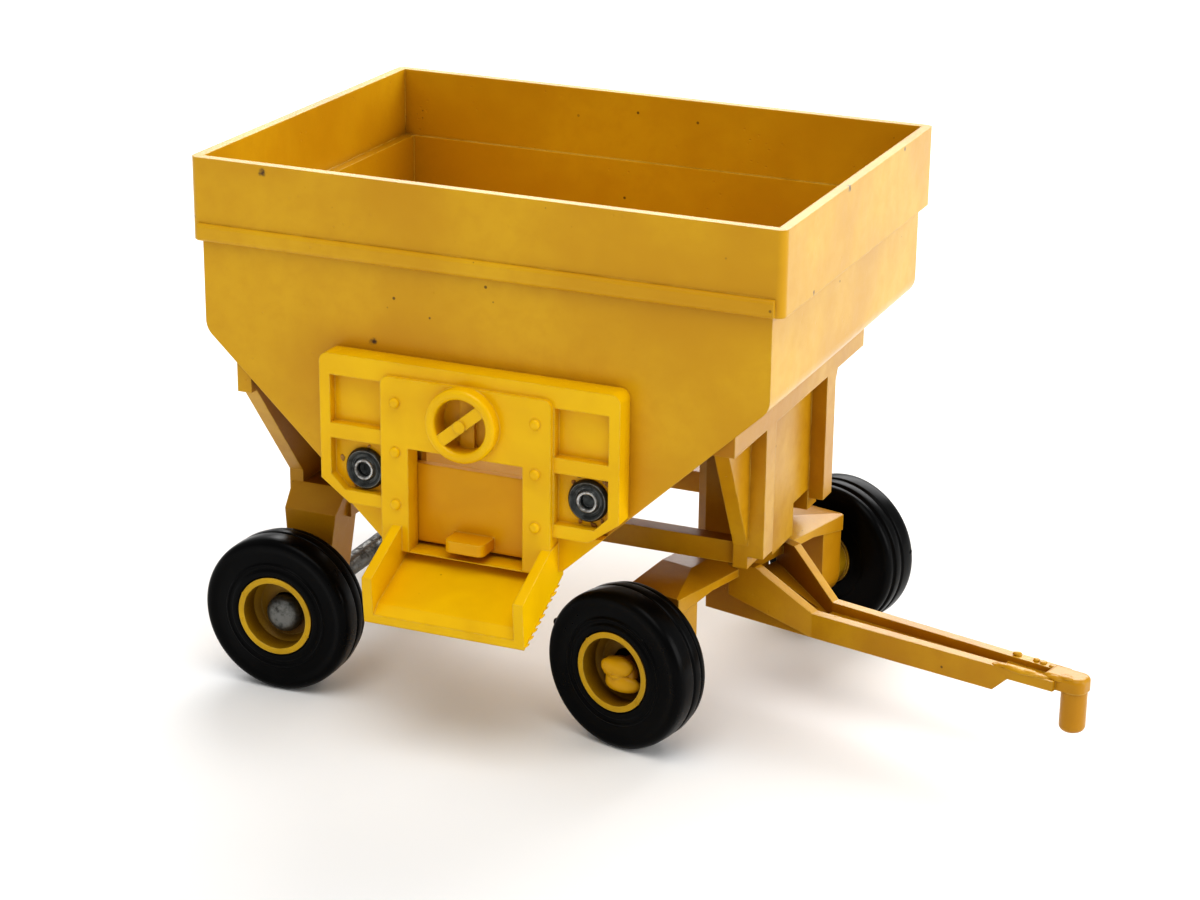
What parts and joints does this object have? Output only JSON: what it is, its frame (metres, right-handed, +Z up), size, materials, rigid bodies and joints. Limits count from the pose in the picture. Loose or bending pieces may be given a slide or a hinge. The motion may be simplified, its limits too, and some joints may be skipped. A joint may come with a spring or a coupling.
{
  "type": "gravity wagon",
  "caption": "Scale-model gravity wagon: sloped open hopper with side discharge door, sliding gate and chute, on an undercarriage with steered front truck and hitch tongue.",
  "frame": {"origin": "bottom centre of the bounding box, on the ground the tyres stand on, with the tongue steered 14 degrees to the right", "axes": "+X forwards towards the hitch, +Y to the wagon's left, away from the discharge door, +Z up"},
  "size_m": [0.0874, 0.0536, 0.0539],
  "materials": {
    "body_paint": "semi-gloss enamel on a casting",
    "chassis_paint": "semi-gloss enamel on a casting",
    "door_plastic": "glossy moulded plastic",
    "gate_plastic": "glossy moulded plastic",
    "hub_plastic": "satin moulded plastic",
    "tyre_vinyl": "semi-gloss soft vinyl",
    "axle_steel": "dull formed steel",
    "rivet_steel": "dark steel with a bright rolled ring"
  },
  "bodies": {
    "wagon": {"hopper_body": "body_paint", "chassis_frame": "chassis_paint", "door_unit": "door_plastic", "rear_axle": "axle_steel", "king_pin_rivet": "rivet_steel", "door_rivet_rear": "rivet_steel", "door_rivet_front": "rivet_steel", "body_rivet_rear": "rivet_steel", "body_rivet_front": "rivet_steel"},
    "truck": {"front_truck": "chassis_paint"},
    "gate": {"discharge_gate": "gate_plastic"},
    "wheel_rear_right": {"tyre_rear_right": "tyre_vinyl", "hub_rear_right": "hub_plastic"},
    "wheel_rear_left": {"tyre_rear_left": "tyre_vinyl", "hub_rear_left": "hub_plastic"},
    "wheel_front_right": {"tyre_front_right": "tyre_vinyl", "hub_front_right": "hub_plastic"},
    "wheel_front_left": {"tyre_front_left": "tyre_vinyl", "hub_front_left": "hub_plastic"}
  },
  "joints": [
    {"name": "steer", "type": "hinge", "parent": "wagon", "child": "truck", "pos_m": [0.00514, 0.00428, 0.012], "axis": [0, 0, 1], "range_deg": [-16, 44]},
    {"name": "gate_slide", "type": "slide", "parent": "wagon", "child": "gate", "axis": [0, 0, 1], "range_m": [0, 0.0074]},
    {"name": "rear_right_spin", "type": "hinge", "parent": "wagon", "child": "wheel_rear_right", "pos_m": [-0.03566, -0.015, 0.008], "axis": [0, 1, 0], "continuous": true},
    {"name": "rear_left_spin", "type": "hinge", "parent": "wagon", "child": "wheel_rear_left", "pos_m": [-0.03566, 0.0235, 0.008], "axis": [0, 1, 0], "continuous": true},
    {"name": "front_right_spin", "type": "hinge", "parent": "truck", "child": "wheel_front_right", "pos_m": [0.00514, 0.00428, 0.008], "axis": [0.2419, 0.9703, 0], "continuous": true},
    {"name": "front_left_spin", "type": "hinge", "parent": "truck", "child": "wheel_front_left", "pos_m": [0.00514, 0.00428, 0.008], "axis": [0.2419, 0.9703, 0], "continuous": true}
  ]
}
